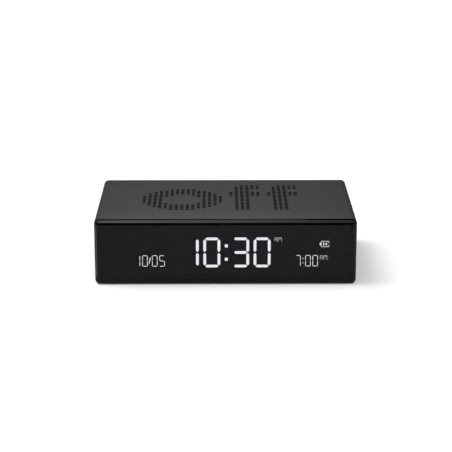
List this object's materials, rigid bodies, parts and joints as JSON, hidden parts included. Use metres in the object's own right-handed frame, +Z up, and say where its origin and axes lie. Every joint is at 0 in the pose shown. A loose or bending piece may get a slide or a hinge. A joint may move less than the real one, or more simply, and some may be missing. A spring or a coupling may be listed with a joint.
{
  "type": "flip alarm clock",
  "caption": "Flat block alarm clock with a glossy digital display front and perforated covers; turning it over switches the alarm on or off.",
  "frame": {"origin": "middle of the face that the clock stands on, with the off lettering up", "axes": "+X to the right as the display is read, -Y out of the display, +Z up"},
  "size_m": [0.105, 0.064, 0.027],
  "materials": {
    "satin_shell": "satin lacquer over moulded ABS",
    "gloss_panel": "polished smoked acrylic",
    "matt_black": "fine spark texture, moulded ABS",
    "display_glass": "dark negative display cell",
    "clear_acrylic": "clear moulded acrylic",
    "white_film": "matt white film",
    "soft_rubber": "matt foam and silicone",
    "circuit_board": "solder mask on glass laminate",
    "chip_resin": "moulded epoxy",
    "tin_plate": "bright tin plate",
    "nylon": "natural nylon",
    "screw_steel": "black zinc plate",
    "steel": "plain steel",
    "battery_foil": "laminated aluminium foil",
    "acoustic_cloth": "black woven acoustic cloth",
    "ferrite": "sintered ferrite",
    "red_insulation": "PVC wire insulation",
    "black_insulation": "PVC wire insulation",
    "grey_insulation": "flat cable"
  },
  "bodies": {
    "case": {"top_shell": "satin_shell", "bottom_shell": "satin_shell", "front_window": "gloss_panel", "window_gasket": "soft_rubber", "front_bezel": "matt_black", "display_cell": "display_glass", "light_guide": "clear_acrylic", "backlight_strip": "white_film", "reflector_sheet": "white_film", "contact_strip": "soft_rubber", "display_board": "circuit_board", "controller_chip": "chip_resin", "crystal_can": "tin_plate", "display_plug": "nylon", "tilt_switch_cup": "tin_plate", "tilt_switch_cap": "nylon", "board_ribbon": "grey_insulation", "key_board": "circuit_board", "key_plug": "nylon", "power_plug": "nylon", "charger_chip": "chip_resin", "selector_switch": "tin_plate", "usb_socket": "tin_plate", "rear_panel": "matt_black", "battery_pack": "battery_foil", "battery_pad": "soft_rubber", "battery_lead_red": "red_insulation", "battery_lead_black": "black_insulation", "speaker_gasket": "soft_rubber", "speaker_basket": "steel", "speaker_magnet": "ferrite", "speaker_lead": "black_insulation", "speaker_cloth": "acoustic_cloth", "top_cloth": "acoustic_cloth", "bottom_cloth": "acoustic_cloth", "panel_screw_1": "screw_steel", "panel_screw_2": "screw_steel", "panel_screw_3": "screw_steel", "panel_screw_4": "screw_steel", "key_switch_mode": "chip_resin", "key_switch_set": "chip_resin", "key_switch_minus": "chip_resin", "key_switch_plus": "chip_resin"},
    "key_mode": {"button_mode": "matt_black", "key_plunger_mode": "nylon"},
    "key_set": {"button_set": "matt_black", "key_plunger_set": "nylon"},
    "key_minus": {"button_minus": "matt_black", "key_plunger_minus": "nylon"},
    "key_plus": {"button_plus": "matt_black", "key_plunger_plus": "nylon"},
    "selector": {"selector_knob": "matt_black"},
    "tilt_ball": {"tilt_ball": "steel"},
    "speaker_cone": {"speaker_cone": "acoustic_cloth"}
  },
  "joints": [
    {"name": "mode_press", "type": "slide", "parent": "case", "child": "key_mode", "axis": [0, -1, 0], "range_m": [0, 0.0005], "stiffness_N_per_m": 2000},
    {"name": "set_press", "type": "slide", "parent": "case", "child": "key_set", "axis": [0, -1, 0], "range_m": [0, 0.0005], "stiffness_N_per_m": 2000},
    {"name": "minus_press", "type": "slide", "parent": "case", "child": "key_minus", "axis": [0, -1, 0], "range_m": [0, 0.0005], "stiffness_N_per_m": 2000},
    {"name": "plus_press", "type": "slide", "parent": "case", "child": "key_plus", "axis": [0, -1, 0], "range_m": [0, 0.0005], "stiffness_N_per_m": 2000},
    {"name": "selector_slide", "type": "slide", "parent": "case", "child": "selector", "axis": [1, 0, 0], "range_m": [-0.002, 0.002]},
    {"name": "ball_roll", "type": "slide", "parent": "case", "child": "tilt_ball", "axis": [0, 0, 1], "range_m": [0, 0.0025]},
    {"name": "cone_stroke", "type": "slide", "parent": "case", "child": "speaker_cone", "axis": [0, 0, 1], "range_m": [-0.0003, 0.0003], "stiffness_N_per_m": 2000}
  ]
}
